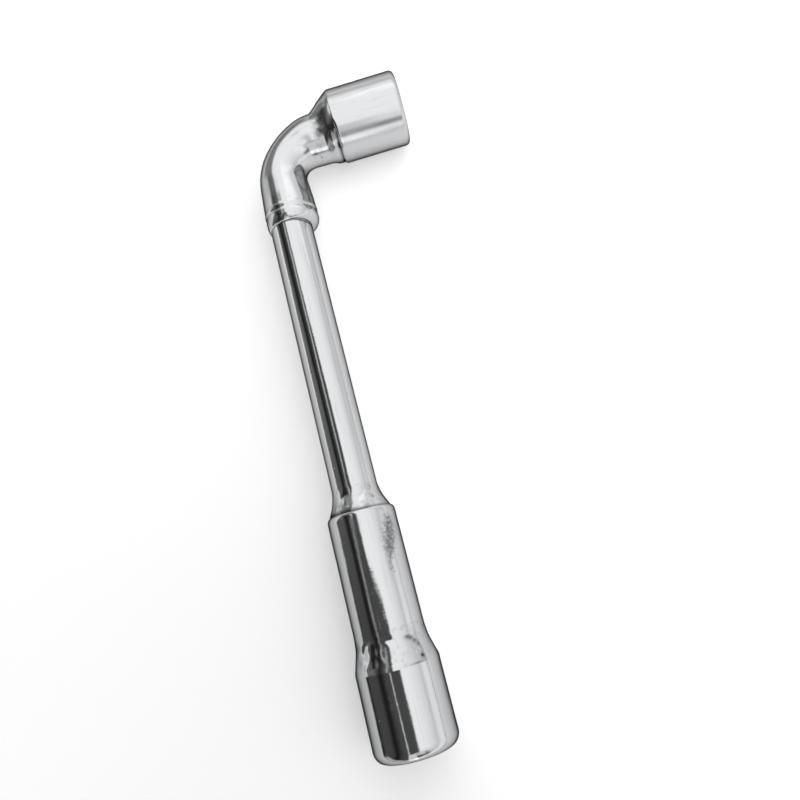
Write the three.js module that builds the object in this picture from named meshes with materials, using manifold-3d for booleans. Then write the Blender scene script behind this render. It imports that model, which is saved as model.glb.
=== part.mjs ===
// An L-shaped socket wrench with a hexagon socket on each arm, lying flat on its two sockets.
// Millimetres, +Z up. The long arm runs along +Y from its mouth to the elbow, and the short arm
// runs along +X from the elbow to its own mouth. The origin is under the middle of the outline.

import * as THREE from 'three';
import { mergeVertices } from 'three/addons/utils/BufferGeometryUtils.js';
import Module from 'manifold-3d';

// Nut size and fits
const HEX_ACROSS_FLATS = 17;
const HEX_LEAD_IN = 0.9;
const FIT_GAP = 0.3;
const END_CHAMFER = 0.8;

// Long socket: the recess, the wall behind it, the wall at the hexagon's corners, and the rounded nose
const LONG_HEX_DEPTH = 19;
const LONG_BACK_WALL = 4.5;
const LONG_SOCKET_WALL = 2.7;
const LONG_NOSE_WIDTH = 2.4;
const LONG_NOSE_LENGTH = 3.2;

// Barrel: its length between the long socket and the shank's weld, and its walls
const BARREL_LENGTH = 44.9;
const BARREL_WALL = 3.1;
const BARREL_EDGE_RADIUS = 0.8;
const SPIGOT_WALL = 1.5;

// Shank: its length in sight, the depth of its seat in the barrel, and the tenon in the elbow
const SHANK_OD = 14.2;
const SHANK_LENGTH = 98.1;
const SHANK_SEAT = 14;
const SHANK_TENON_OD = 9;
const SHANK_TENON_LENGTH = 9;

// Elbow: a collar lip that stands out on the inner side, a straight leg, the bend and the neck
const COLLAR_OD = 17.9;
const COLLAR_OFFSET = 1.1;
const COLLAR_LIP_HEIGHT = 4.6;
const ELBOW_LEG = 11.9;
const BEND_RADIUS = 14.7;
const BEND_WAIST_OD = 15.7;
const NECK_OD = 17.7;
const NECK_LENGTH = 7.8;
const NECK_TENON_OD = 11;
const NECK_TENON_LENGTH = 4.5;

// Short socket, and the step between its inner side and the neck's
const SHORT_HEX_DEPTH = 16;
const SHORT_BACK_WALL = 7.9;
const SHORT_SOCKET_WALL = 2.7;
const SHORT_NOSE_WIDTH = 1.5;
const SHORT_NOSE_LENGTH = 1.8;
const NECK_STEP = 0.95;

// Fillet welds: their lengths along the pieces that they climb, and their thickness at the thin end
const LONG_WELD_LENGTH = 10.9;
const BARREL_WELD_LENGTH = 7.8;
const WELD_TOE = 0.25;

// Facets
const ROUND_SEGMENTS = 36;
const CURVE_STEPS = 6;
const CUT_OVERRUN = 1;

// Radii that follow from the sizes above
const HEX_CORNER_RADIUS = HEX_ACROSS_FLATS / 2 / Math.cos(Math.PI / 6);
const LONG_RADIUS = HEX_CORNER_RADIUS + LONG_SOCKET_WALL;
const SHORT_RADIUS = HEX_CORNER_RADIUS + SHORT_SOCKET_WALL;
const SHANK_RADIUS = SHANK_OD / 2;
const BARREL_BORE_RADIUS = SHANK_RADIUS + FIT_GAP;
const BARREL_RADIUS = BARREL_BORE_RADIUS + BARREL_WALL;
const SPIGOT_RADIUS = BARREL_BORE_RADIUS + SPIGOT_WALL;
const COLLAR_RADIUS = COLLAR_OD / 2;
const WAIST_RADIUS = BEND_WAIST_OD / 2;
const NECK_RADIUS = NECK_OD / 2;
const NECK_OFFSET = SHORT_RADIUS - NECK_RADIUS - NECK_STEP;

// Stations along the long arm, from its mouth
const LONG_BACK_Y = LONG_HEX_DEPTH + LONG_BACK_WALL;
const BARREL_TOP_Y = LONG_BACK_Y + BARREL_LENGTH;
const COLLAR_Y = BARREL_TOP_Y + SHANK_LENGTH;
const LIP_TOP_Y = COLLAR_Y + COLLAR_LIP_HEIGHT;
const BEND_START_Y = LIP_TOP_Y + ELBOW_LEG;
const NECK_Y = BEND_START_Y + BEND_RADIUS;
const SHORT_AXIS_Y = NECK_Y + NECK_OFFSET;

// Stations along the short arm, from the long arm's axis
const BEND_END_X = COLLAR_OFFSET + BEND_RADIUS;
const SHORT_BACK_X = BEND_END_X + NECK_LENGTH;
const SHORT_MOUTH_X = SHORT_BACK_X + SHORT_BACK_WALL + SHORT_HEX_DEPTH;

// Headings of a section's normal in the plane of the L
const ALONG_LONG_ARM = Math.PI / 2;
const ALONG_SHORT_ARM = 0;

const wasm = await Module();
wasm.setup();

/** A closed geometry as a solid, with shared vertices merged and triangles of no area left out. */
function toSolid(geometry) {
  const bare = geometry.clone();
  bare.deleteAttribute('normal');
  bare.deleteAttribute('uv');
  const merged = mergeVertices(bare);
  const corners = merged.index.array;
  const triangles = [];
  for (let i = 0; i < corners.length; i += 3) {
    const [a, b, c] = corners.slice(i, i + 3);
    if (a !== b && b !== c && c !== a) {
      triangles.push(a, b, c);
    }
  }
  return new wasm.Manifold(new wasm.Mesh({
    numProp: 3,
    vertProperties: new Float32Array(merged.attributes.position.array),
    triVerts: new Uint32Array(triangles),
  }));
}

/** The surface of a solid as a geometry with flat facets. */
function toGeometry(solid) {
  const surface = solid.getMesh();
  const geometry = new THREE.BufferGeometry();
  geometry.setAttribute('position', new THREE.BufferAttribute(surface.vertProperties, 3));
  geometry.setIndex(new THREE.BufferAttribute(surface.triVerts, 1));
  geometry.computeVertexNormals();
  return geometry;
}

/** A solid of revolution about the Y axis, from an outline of [radius, y] points. */
function turned(outline) {
  const points = outline.map(([radius, y]) => new THREE.Vector2(radius, y));
  return toSolid(new THREE.LatheGeometry(points, ROUND_SEGMENTS));
}

/** A turned ring, whose outline closes on itself. */
function turnedRing(outline) {
  return turned([...outline, outline[0]]);
}

/** A round bar about the Y axis between two heights. */
function bar(radius, bottom, top) {
  return turned([[0, bottom], [radius, bottom], [radius, top], [0, top]]);
}

/** Points of a rounded outer edge, from the end face at the height given out to the full radius. */
function roundedEdge(radius, width, length, faceY, inward) {
  const points = [];
  for (let i = 0; i <= CURVE_STEPS; i += 1) {
    const turn = (i / CURVE_STEPS) * Math.PI / 2;
    points.push([radius - width * (1 - Math.sin(turn)), faceY + inward * length * (1 - Math.cos(turn))]);
  }
  return points;
}

/** Points of a hollow fillet that falls from the foot radius to the toe radius. */
function filletCurve(footRadius, footY, toeRadius, toeY) {
  const points = [];
  for (let i = 0; i <= CURVE_STEPS; i += 1) {
    const share = i / CURVE_STEPS;
    const radius = toeRadius + (footRadius - toeRadius) * (1 - share) ** 2;
    points.push([radius, footY + (toeY - footY) * share]);
  }
  return points;
}

/** A round section of a lofted piece: its centre, its radius and the heading of its normal. */
function section(x, y, radius, heading) {
  return { x, y, radius, heading };
}

/** A loft through round sections in the plane of the L, capped, or joined end to start as a ring. */
function loft(sections, ring = false) {
  const positions = [];
  for (const { x, y, radius, heading } of sections) {
    for (let i = 0; i < ROUND_SEGMENTS; i += 1) {
      const turn = (i / ROUND_SEGMENTS) * Math.PI * 2;
      const across = radius * Math.cos(turn);
      positions.push(x - across * Math.sin(heading), y + across * Math.cos(heading), radius * Math.sin(turn));
    }
  }
  const indices = [];
  const spans = ring ? sections.length : sections.length - 1;
  for (let row = 0; row < spans; row += 1) {
    const near = row * ROUND_SEGMENTS;
    const far = ((row + 1) % sections.length) * ROUND_SEGMENTS;
    for (let i = 0; i < ROUND_SEGMENTS; i += 1) {
      const next = (i + 1) % ROUND_SEGMENTS;
      indices.push(near + i, near + next, far + next, near + i, far + next, far + i);
    }
  }
  if (!ring) {
    const last = (sections.length - 1) * ROUND_SEGMENTS;
    for (let i = 1; i < ROUND_SEGMENTS - 1; i += 1) {
      indices.push(0, i + 1, i);
      indices.push(last, last + i, last + i + 1);
    }
  }
  const geometry = new THREE.BufferGeometry();
  geometry.setAttribute('position', new THREE.BufferAttribute(new Float32Array(positions), 3));
  geometry.setIndex(indices);
  return toSolid(geometry);
}

/** A socket cup about the Y axis with its mouth at y = 0, before its back is bored. */
function socketCup(radius, noseWidth, noseLength, hexDepth, backWall) {
  const back = hexDepth + backWall;
  const body = turned([
    [0, 0],
    ...roundedEdge(radius, noseWidth, noseLength, 0, 1),
    [radius, back],
    [0, back],
  ]);
  const recessLength = hexDepth + CUT_OVERRUN;
  const recess = new THREE.CylinderGeometry(HEX_CORNER_RADIUS, HEX_CORNER_RADIUS, recessLength, 6);
  recess.translate(0, hexDepth - recessLength / 2, 0);
  const flat = HEX_ACROSS_FLATS / 2;
  const leadIn = turned([
    [0, -CUT_OVERRUN],
    [flat + HEX_LEAD_IN + CUT_OVERRUN, -CUT_OVERRUN],
    [flat, HEX_LEAD_IN],
    [0, HEX_LEAD_IN],
  ]);
  return body.subtract(toSolid(recess)).subtract(leadIn);
}

/** The long socket, bored through at the back for the barrel's spigot. */
function longSocket() {
  const bore = bar(SPIGOT_RADIUS + FIT_GAP, LONG_HEX_DEPTH - CUT_OVERRUN, LONG_BACK_Y + CUT_OVERRUN);
  return socketCup(LONG_RADIUS, LONG_NOSE_WIDTH, LONG_NOSE_LENGTH, LONG_HEX_DEPTH, LONG_BACK_WALL)
    .subtract(bore);
}

/** The barrel, a tube with a thinner spigot below and a softened edge on top. */
function barrel() {
  return turnedRing([
    [BARREL_BORE_RADIUS, LONG_HEX_DEPTH],
    [SPIGOT_RADIUS, LONG_HEX_DEPTH],
    [SPIGOT_RADIUS, LONG_BACK_Y],
    [BARREL_RADIUS, LONG_BACK_Y],
    ...roundedEdge(BARREL_RADIUS, BARREL_EDGE_RADIUS, BARREL_EDGE_RADIUS, BARREL_TOP_Y, -1).reverse(),
    [BARREL_BORE_RADIUS, BARREL_TOP_Y],
  ]);
}

/** The fillet weld on the back of the long socket, around the barrel. */
function longSocketWeld() {
  const toeY = LONG_BACK_Y + LONG_WELD_LENGTH;
  return turnedRing([
    [BARREL_RADIUS, LONG_BACK_Y],
    ...filletCurve(LONG_RADIUS, LONG_BACK_Y, BARREL_RADIUS + WELD_TOE, toeY),
    [BARREL_RADIUS, toeY],
  ]);
}

/** The fillet weld on the top face of the barrel, around the shank. */
function barrelWeld() {
  const toeY = BARREL_TOP_Y + BARREL_WELD_LENGTH;
  return turnedRing([
    [SHANK_RADIUS, BARREL_TOP_Y],
    ...filletCurve(BARREL_RADIUS - BARREL_EDGE_RADIUS, BARREL_TOP_Y, SHANK_RADIUS + WELD_TOE, toeY),
    [SHANK_RADIUS, toeY],
  ]);
}

/** The shank, a bar with a chamfered lower end and a tenon above its shoulder. */
function shank() {
  const bottom = BARREL_TOP_Y - SHANK_SEAT;
  const tenonRadius = SHANK_TENON_OD / 2;
  const tenonTop = COLLAR_Y + SHANK_TENON_LENGTH;
  return turned([
    [0, bottom],
    [SHANK_RADIUS - END_CHAMFER, bottom],
    [SHANK_RADIUS, bottom + END_CHAMFER],
    [SHANK_RADIUS, COLLAR_Y],
    [tenonRadius, COLLAR_Y],
    [tenonRadius, tenonTop - END_CHAMFER],
    [tenonRadius - END_CHAMFER, tenonTop],
    [0, tenonTop],
  ]);
}

/** The elbow's sections: the rounded lip, the leg, the bend with its waist, and the straight neck. */
function elbowSections() {
  const sections = [];
  for (let i = 0; i <= CURVE_STEPS; i += 1) {
    const turn = (i / CURVE_STEPS) * Math.PI / 2;
    const grown = Math.sin(turn);
    const radius = THREE.MathUtils.lerp(SHANK_RADIUS, COLLAR_RADIUS, grown);
    const y = COLLAR_Y + COLLAR_LIP_HEIGHT * (1 - Math.cos(turn));
    sections.push(section(COLLAR_OFFSET * grown, y, radius, ALONG_LONG_ARM));
  }
  const halfBend = BEND_RADIUS * Math.PI / 4;
  const toWaist = ELBOW_LEG + halfBend;
  for (let i = 1; i <= CURVE_STEPS; i += 1) {
    const along = (i / CURVE_STEPS) * ELBOW_LEG;
    const narrowed = THREE.MathUtils.smoothstep(along, 0, toWaist);
    const radius = THREE.MathUtils.lerp(COLLAR_RADIUS, WAIST_RADIUS, narrowed);
    sections.push(section(COLLAR_OFFSET, LIP_TOP_Y + along, radius, ALONG_LONG_ARM));
  }
  for (let i = 1; i <= 2 * CURVE_STEPS; i += 1) {
    const turn = (i / (2 * CURVE_STEPS)) * Math.PI / 2;
    const along = ELBOW_LEG + BEND_RADIUS * turn;
    const narrowed = THREE.MathUtils.smoothstep(along, 0, toWaist);
    const widened = THREE.MathUtils.smoothstep(along, toWaist, toWaist + halfBend);
    const waisted = THREE.MathUtils.lerp(COLLAR_RADIUS, WAIST_RADIUS, narrowed);
    const radius = waisted + (NECK_RADIUS - WAIST_RADIUS) * widened;
    const x = COLLAR_OFFSET + BEND_RADIUS * (1 - Math.cos(turn));
    const y = BEND_START_Y + BEND_RADIUS * Math.sin(turn);
    sections.push(section(x, y, radius, ALONG_LONG_ARM - turn));
  }
  sections.push(section(SHORT_BACK_X, NECK_Y, NECK_RADIUS, ALONG_SHORT_ARM));
  return sections;
}

/** The elbow, bored below for the shank's tenon and carrying its own tenon on the neck. */
function elbow() {
  const boreRadius = SHANK_TENON_OD / 2 + FIT_GAP;
  const bore = bar(boreRadius, COLLAR_Y - CUT_OVERRUN, COLLAR_Y + SHANK_TENON_LENGTH + FIT_GAP);
  const tenonRadius = NECK_TENON_OD / 2;
  const tenonEnd = SHORT_BACK_X + NECK_TENON_LENGTH;
  const tenon = loft([
    section(SHORT_BACK_X - CUT_OVERRUN, NECK_Y, tenonRadius, ALONG_SHORT_ARM),
    section(tenonEnd - END_CHAMFER, NECK_Y, tenonRadius, ALONG_SHORT_ARM),
    section(tenonEnd, NECK_Y, tenonRadius - END_CHAMFER, ALONG_SHORT_ARM),
  ]);
  return loft(elbowSections()).subtract(bore).add(tenon);
}

/** The fillet weld between the neck and the back of the short socket, thin on the inner side. */
function shortSocketWeld() {
  return loft([
    section(BEND_END_X, NECK_Y, NECK_RADIUS, ALONG_SHORT_ARM),
    section(BEND_END_X, NECK_Y, NECK_RADIUS + WELD_TOE, ALONG_SHORT_ARM),
    section(SHORT_BACK_X, SHORT_AXIS_Y, SHORT_RADIUS, ALONG_SHORT_ARM),
    section(SHORT_BACK_X, NECK_Y, NECK_RADIUS, ALONG_SHORT_ARM),
  ], true);
}

/** The short socket about its own Y axis, bored off centre at the back for the elbow's tenon. */
function shortSocket() {
  const back = SHORT_HEX_DEPTH + SHORT_BACK_WALL;
  const boreRadius = NECK_TENON_OD / 2 + FIT_GAP;
  const bore = bar(boreRadius, back - NECK_TENON_LENGTH - FIT_GAP, back + CUT_OVERRUN);
  return socketCup(SHORT_RADIUS, SHORT_NOSE_WIDTH, SHORT_NOSE_LENGTH, SHORT_HEX_DEPTH, SHORT_BACK_WALL)
    .subtract(bore.translate([-NECK_OFFSET, 0, 0]));
}

/** A named piece of bright chromed steel, with the finish given. */
function piece(name, solid, color, roughness) {
  const mesh = new THREE.Mesh(
    toGeometry(solid),
    new THREE.MeshStandardMaterial({ color, roughness, metalness: 1 }),
  );
  mesh.name = name;
  return mesh;
}

const POLISHED = { color: 0xd2d4d6, roughness: 0.1 };
const SATIN = { color: 0xc9cbcd, roughness: 0.2 };
const GROUND_WELD = { color: 0xc4c6c8, roughness: 0.24 };

const longArm = new THREE.Group();
longArm.add(
  piece('long_socket', longSocket(), POLISHED.color, POLISHED.roughness),
  piece('long_socket_weld', longSocketWeld(), GROUND_WELD.color, GROUND_WELD.roughness),
  piece('barrel', barrel(), POLISHED.color, POLISHED.roughness),
  piece('barrel_weld', barrelWeld(), GROUND_WELD.color, GROUND_WELD.roughness),
  piece('shank', shank(), POLISHED.color, POLISHED.roughness),
  piece('elbow', elbow(), SATIN.color, SATIN.roughness),
  piece('short_socket_weld', shortSocketWeld(), GROUND_WELD.color, GROUND_WELD.roughness),
);

const shortArm = new THREE.Group();
shortArm.position.set(SHORT_MOUTH_X, SHORT_AXIS_Y, 0);
shortArm.rotation.z = Math.PI / 2;
shortArm.add(piece('short_socket', shortSocket(), SATIN.color, SATIN.roughness));

const outline = {
  left: -LONG_RADIUS,
  right: SHORT_MOUTH_X,
  far: SHORT_AXIS_Y + SHORT_RADIUS,
};

const wrench = new THREE.Group();
wrench.position.set(
  -(outline.left + outline.right) / 2,
  -outline.far / 2,
  Math.max(LONG_RADIUS, SHORT_RADIUS),
);
wrench.add(longArm, shortArm);

export default wrench;
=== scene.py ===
"""Looks of an L-shaped socket wrench in chromed steel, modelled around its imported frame.

The long arm lies along +Y, the short arm along +X and the plane of the L is level. Sizes are in
millimetres in the part's frame and become metres when a mesh is made.
"""

import logging
import math
from collections.abc import Sequence
from dataclasses import dataclass, field, replace
from enum import Enum

import bpy
import numpy as np
from mathutils import Matrix, Vector, noise


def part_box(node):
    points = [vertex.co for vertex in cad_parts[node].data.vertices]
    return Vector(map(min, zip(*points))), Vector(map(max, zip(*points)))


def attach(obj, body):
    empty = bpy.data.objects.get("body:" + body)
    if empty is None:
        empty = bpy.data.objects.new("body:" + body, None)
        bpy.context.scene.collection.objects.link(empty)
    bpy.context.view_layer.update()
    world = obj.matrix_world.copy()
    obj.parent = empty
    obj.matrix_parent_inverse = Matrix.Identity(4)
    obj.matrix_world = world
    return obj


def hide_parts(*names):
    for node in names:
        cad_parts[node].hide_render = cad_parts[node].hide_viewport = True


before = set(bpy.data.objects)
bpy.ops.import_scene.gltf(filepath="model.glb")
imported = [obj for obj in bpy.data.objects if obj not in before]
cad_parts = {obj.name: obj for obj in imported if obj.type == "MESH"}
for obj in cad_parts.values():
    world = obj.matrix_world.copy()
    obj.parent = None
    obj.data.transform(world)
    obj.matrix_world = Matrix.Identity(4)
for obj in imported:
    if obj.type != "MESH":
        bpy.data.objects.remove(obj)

LOG = logging.getLogger("wrench")
MM = 0.001
ROOT_BODY = "root"
SHARP_ANGLE = math.radians(38)
QUARTER_TURN = math.pi / 2
NECK_RADIUS = 8.85
# The number of points in every ring, and their angles from straight up towards the inner side of the L.
ROUND = 192
TURNS = np.arange(ROUND) * (2 * math.pi / ROUND)

Ring = np.ndarray
Values = float | np.ndarray
Limits = tuple[float, float]


class Arm(Enum):
    """The two straight arms that a turned piece can lie along."""

    LONG = "long"
    SHORT = "short"


class Slot(Enum):
    """The record's material slots."""

    POLISHED = "polished_chrome"
    SATIN = "satin_chrome"
    WELD = "weld_chrome"


class Along(Enum):
    """The ways that a ramp of light can run, as shares of X, Y and Z."""

    RIGHT = (1.0, 0.0, 0.0)
    BACK = (0.0, 1.0, 0.0)
    UP = (0.0, 0.0, 1.0)
    LEANING = (0.0, -0.35, 1.0)


class Join(Enum):
    """The ways that patches of light are joined."""

    SUM = "ADD"
    BRIGHTEST = "MAXIMUM"


def linear(hex_colour: str) -> tuple[float, float, float, float]:
    """Turn an sRGB hex colour into linear RGBA.

    Args:
        hex_colour: six hex digits after a #.

    Returns:
        The linear colour by the sRGB standard's own curve, with an alpha of 1.
    """
    channels = [int(hex_colour[i:i + 2], 16) / 255 for i in (1, 3, 5)]
    bright = [c / 12.92 if c <= 0.04045 else ((c + 0.055) / 1.055) ** 2.4 for c in channels]
    return (*bright, 1.0)


def empty_nodes(owner: bpy.types.Material | bpy.types.World) -> bpy.types.NodeTree:
    """Give a material or a world an empty node tree.

    Args:
        owner: the material or the world.

    Returns:
        Its node tree.
    """
    owner.use_nodes = True
    owner.node_tree.nodes.clear()
    return owner.node_tree


def add_node(
    tree: bpy.types.NodeTree,
    kind: str,
    settings: dict[str, object] | None = None,
    inputs: dict[str | int, object] | None = None,
) -> bpy.types.Node:
    """Add a node with its settings, its constant inputs and its links.

    Args:
        tree: the node tree to add to.
        kind: the node's type name.
        settings: node properties by name.
        inputs: socket values by name or index. A socket as a value is linked.

    Returns:
        The new node.
    """
    node = tree.nodes.new(kind)
    for name, value in (settings or {}).items():
        setattr(node, name, value)
    for key, value in (inputs or {}).items():
        if isinstance(value, bpy.types.NodeSocket):
            tree.links.new(value, node.inputs[key])
        else:
            node.inputs[key].default_value = value
    return node


def smooth_share(value: Values, limits: Limits) -> Values:
    """Give a smooth share of the way between two limits.

    Args:
        value: one value, or one for each point of a ring.
        limits: the value where the share leaves 0, and the one where it reaches 1.

    Returns:
        A share from 0 to 1 for each value.
    """
    start, end = limits
    share = np.clip((value - start) / (end - start), 0.0, 1.0)
    return share * share * (3 - 2 * share)


def steps(start: float, end: float, pitch: float) -> list[float]:
    """Give evenly spaced stations from start to end, both included, about a pitch apart."""
    count = max(1, round(abs(end - start) / pitch))
    return [start + (end - start) * i / count for i in range(count + 1)]


@dataclass(frozen=True)
class Dent:
    """A shallow round hollow, or a bump where the depth is negative, on a turned surface.

    The station is in millimetres along the arm, and the angle is in degrees from straight up towards
    the right of the arm, seen from above with the arm pointing away. A spot of painted shade or a scuff
    is one too, with its share from 0 to 1 as the depth.
    """

    station: float
    angle: float
    length: float
    width: float
    depth: float

    def around(self, station: float, radii: Values) -> np.ndarray:
        """Give the depth of the hollow around a ring.

        Args:
            station: the ring's place along the arm.
            radii: the radius of the plain surface there.

        Returns:
            Millimetres below the plain surface at each of the ring's points.
        """
        turn = (TURNS - math.radians(self.angle) + math.pi) % (2 * math.pi) - math.pi
        along = (station - self.station) / self.length
        across = turn * radii / self.width
        return self.depth * np.exp(-along * along - across * across)


def depths(dents: Sequence[Dent], station: float, radii: Values) -> np.ndarray:
    """Add up what several dents take off around a ring."""
    return sum((dent.around(station, radii) for dent in dents), np.zeros(ROUND))


@dataclass(frozen=True)
class Ripple:
    """Smooth random ripples on a turned surface, with a seed that no two pieces share."""

    size: float
    height: float
    seed: float
    skew: float = 1.7

    def around(self, station: float, radii: Values) -> np.ndarray:
        """Give the ripples around a ring.

        Args:
            station: the ring's place along the arm.
            radii: the radius of the plain surface there.

        Returns:
            Millimetres out of the plain surface at each of the ring's points.
        """
        shift = Vector((self.seed, self.seed * self.skew, -self.seed))
        columns = np.broadcast_arrays(radii * np.sin(TURNS), station, radii * np.cos(TURNS))
        points = np.stack(columns, 1)
        heights = [noise.noise(Vector(point) / self.size + shift) for point in points]
        return self.height * np.array(heights)


@dataclass(frozen=True)
class Sizes:
    """Radii and stations of the wrench, read from the frame, in millimetres."""

    axis_x: float
    axis_z: float
    long_radius: float
    long_mouth: float
    long_back: float
    long_toe: float
    barrel_radius: float
    barrel_foot: float
    barrel_top: float
    barrel_toe: float
    barrel_weld_radius: float
    shank_radius: float
    shank_foot: float
    shank_top: float
    collar: float
    collar_left: float
    collar_radius: float
    neck_outer: float
    bend_end: float
    tenon_end: float
    short_axis: float
    short_radius: float
    short_back: float
    short_mouth: float

    @property
    def neck_offset(self) -> float:
        """Give how far the neck's axis lies from the short socket's, towards the inner side of the L."""
        return self.short_axis - (self.neck_outer - NECK_RADIUS)

    @staticmethod
    def corners(node: str) -> tuple[np.ndarray, np.ndarray]:
        """Give the lowest and the highest corner of a node's box."""
        low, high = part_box(node)
        return np.array(low) / MM, np.array(high) / MM

    @classmethod
    def from_frame(cls) -> "Sizes":
        """Read the sizes from the nodes' boxes.

        Returns:
            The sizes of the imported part.
        """
        long_low, long_high = cls.corners("long_socket")
        _, weld_high = cls.corners("long_socket_weld")
        barrel_low, barrel_high = cls.corners("barrel")
        trumpet_low, trumpet_high = cls.corners("barrel_weld")
        shank_low, shank_high = cls.corners("shank")
        elbow_low, elbow_high = cls.corners("elbow")
        cone_low, _ = cls.corners("short_socket_weld")
        short_low, short_high = cls.corners("short_socket")
        return cls(
            axis_x=(shank_low[0] + shank_high[0]) / 2,
            axis_z=(shank_low[2] + shank_high[2]) / 2,
            long_radius=(long_high[0] - long_low[0]) / 2,
            long_mouth=long_low[1],
            long_back=long_high[1],
            long_toe=weld_high[1],
            barrel_radius=(barrel_high[0] - barrel_low[0]) / 2,
            barrel_foot=barrel_low[1],
            barrel_top=barrel_high[1],
            barrel_toe=trumpet_high[1],
            barrel_weld_radius=(trumpet_high[0] - trumpet_low[0]) / 2,
            shank_radius=(shank_high[0] - shank_low[0]) / 2,
            shank_foot=shank_low[1],
            shank_top=shank_high[1],
            collar=elbow_low[1],
            collar_left=elbow_low[0],
            collar_radius=(elbow_high[2] - elbow_low[2]) / 2,
            neck_outer=elbow_high[1],
            bend_end=cone_low[0],
            tenon_end=elbow_high[0],
            short_axis=(short_low[1] + short_high[1]) / 2,
            short_radius=(short_high[1] - short_low[1]) / 2,
            short_back=short_low[0],
            short_mouth=short_high[0],
        )


@dataclass
class Skin:
    """A closed surface made of rings of points, each joined to the next.

    A hose joins its last ring to its first. Any other skin closes in a fan at both ends.
    """

    hose: bool
    rings: list[Ring] = field(default_factory=list)
    # Shares of painted shade, which darken creases and pits, and of worn plate, one for each ring.
    painted_shade: list[np.ndarray] = field(default_factory=list)
    wear: list[np.ndarray] = field(default_factory=list)

    def add(self, ring: Ring, painted_shade: Values = 0.0, wear: Values = 0.0) -> None:
        """Add a ring in millimetres, with its shares of painted shade and of worn plate.

        Args:
            ring: the ring's points.
            painted_shade: how much painted shade darkens the plate there, from 0 to 1.
            wear: how worn it is, from 0 to 1.
        """
        self.rings.append(ring)
        self.painted_shade.append(np.broadcast_to(np.minimum(painted_shade, 1.0), ROUND))
        self.wear.append(np.broadcast_to(np.minimum(wear, 1.0), ROUND))

    def to_object(self, name: str) -> bpy.types.Object:
        """Make the mesh object.

        Args:
            name: the object's name.

        Returns:
            The linked object, shaded smooth with its sharp edges marked.
        """
        count = len(self.rings)
        points = np.concatenate(self.rings) * MM
        marks = {"painted_shade": np.concatenate(self.painted_shade), "wear": np.concatenate(self.wear)}
        sides = [(i, (i + 1) % ROUND) for i in range(ROUND)]
        faces = []
        for row in range(count if self.hose else count - 1):
            near, far = row * ROUND, (row + 1) % count * ROUND
            faces.extend((near + i, near + j, far + j, far + i) for i, j in sides)
        if not self.hose:
            tips = np.array([self.rings[0].mean(0), self.rings[-1].mean(0)]) * MM
            first, last = len(points), len(points) + 1
            tail = (count - 1) * ROUND
            points = np.concatenate([points, tips])
            marks = {mark: np.append(values, (0.0, 0.0)) for mark, values in marks.items()}
            for i, j in sides:
                faces.append((first, j, i))
                faces.append((last, tail + i, tail + j))
        mesh = bpy.data.meshes.new(name)
        mesh.from_pydata(points.tolist(), [], faces)
        mesh.update()
        for mark, values in marks.items():
            layer = mesh.attributes.new(mark, "FLOAT", "POINT")
            layer.data.foreach_set("value", values.astype(np.float32))
        mesh.polygons.foreach_set("use_smooth", [True] * len(mesh.polygons))
        mesh.set_sharp_from_angle(angle=SHARP_ANGLE)
        made = bpy.data.objects.new(name, mesh)
        bpy.context.scene.collection.objects.link(made)
        return made


@dataclass(frozen=True)
class Turning:
    """Makes rings about one arm's axis."""

    sizes: Sizes
    arm: Arm

    def ring(self, radii: Values, stations: Values, offset: Values = 0.0) -> Ring:
        """Make a ring of points.

        Args:
            radii: distance of each point from the ring's centre.
            stations: place of each point along the arm.
            offset: how far the centre lies from the axis, towards the inner side of the L.

        Returns:
            The ring's points in the part's frame.
        """
        along = np.broadcast_to(stations, ROUND)
        across = radii * np.sin(TURNS)
        height = self.sizes.axis_z + radii * np.cos(TURNS)
        if self.arm is Arm.LONG:
            return np.stack((self.sizes.axis_x + offset + across, along, height), 1)
        return np.stack((along, self.sizes.short_axis - offset - across, height), 1)


@dataclass(frozen=True)
class Pattern:
    """A cloudy random pattern: its size along X, Y and Z in millimetres, its detail and its contrast."""

    size: tuple[float, float, float]
    detail: float
    roughness: float

    def scale(self) -> tuple[float, ...]:
        """Give the pattern's scale per metre along each axis."""
        return tuple(1 / (size * MM) for size in self.size)


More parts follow.
